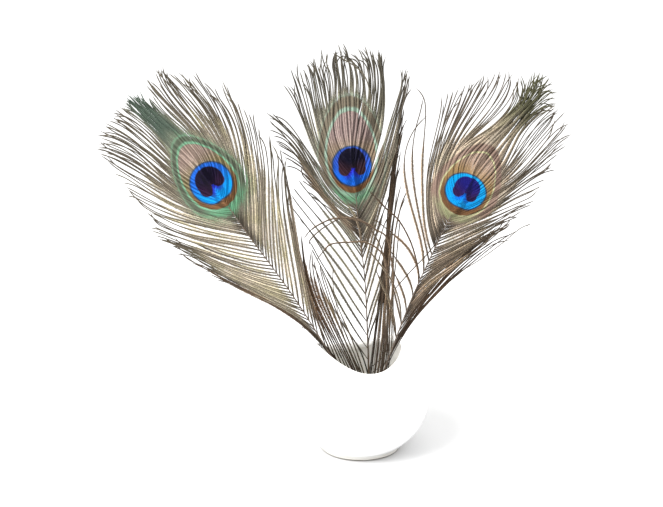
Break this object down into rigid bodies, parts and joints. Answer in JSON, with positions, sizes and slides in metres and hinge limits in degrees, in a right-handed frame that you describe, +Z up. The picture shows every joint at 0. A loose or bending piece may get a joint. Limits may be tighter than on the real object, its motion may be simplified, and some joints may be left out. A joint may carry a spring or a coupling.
{
  "type": "peacock feathers in a vase",
  "caption": "Peacock eye feathers with loose, hair-like barbs, standing fanned out in a round glazed ceramic vase with a wavy lip; a free-standing ornament.",
  "frame": {"origin": "centre of the vase's foot, on the surface that it stands on", "axes": "+Z up, -Y towards the side that the eyes face, +X to the right seen from there, which is the widest way across the fan of feathers"},
  "size_m": [0.2896, 0.104, 0.2431],
  "materials": {
    "white_glaze": "gloss",
    "quill": "satin",
    "barbs": "satin"
  },
  "bodies": {
    "root": {"vase": "white_glaze", "left_feather_shaft": "quill", "left_feather_left_barbs": "barbs", "left_feather_right_barbs": "barbs", "middle_feather_shaft": "quill", "middle_feather_left_barbs": "barbs", "middle_feather_right_barbs": "barbs", "right_feather_shaft": "quill", "right_feather_left_barbs": "barbs", "right_feather_right_barbs": "barbs"}
  },
  "joints": []
}
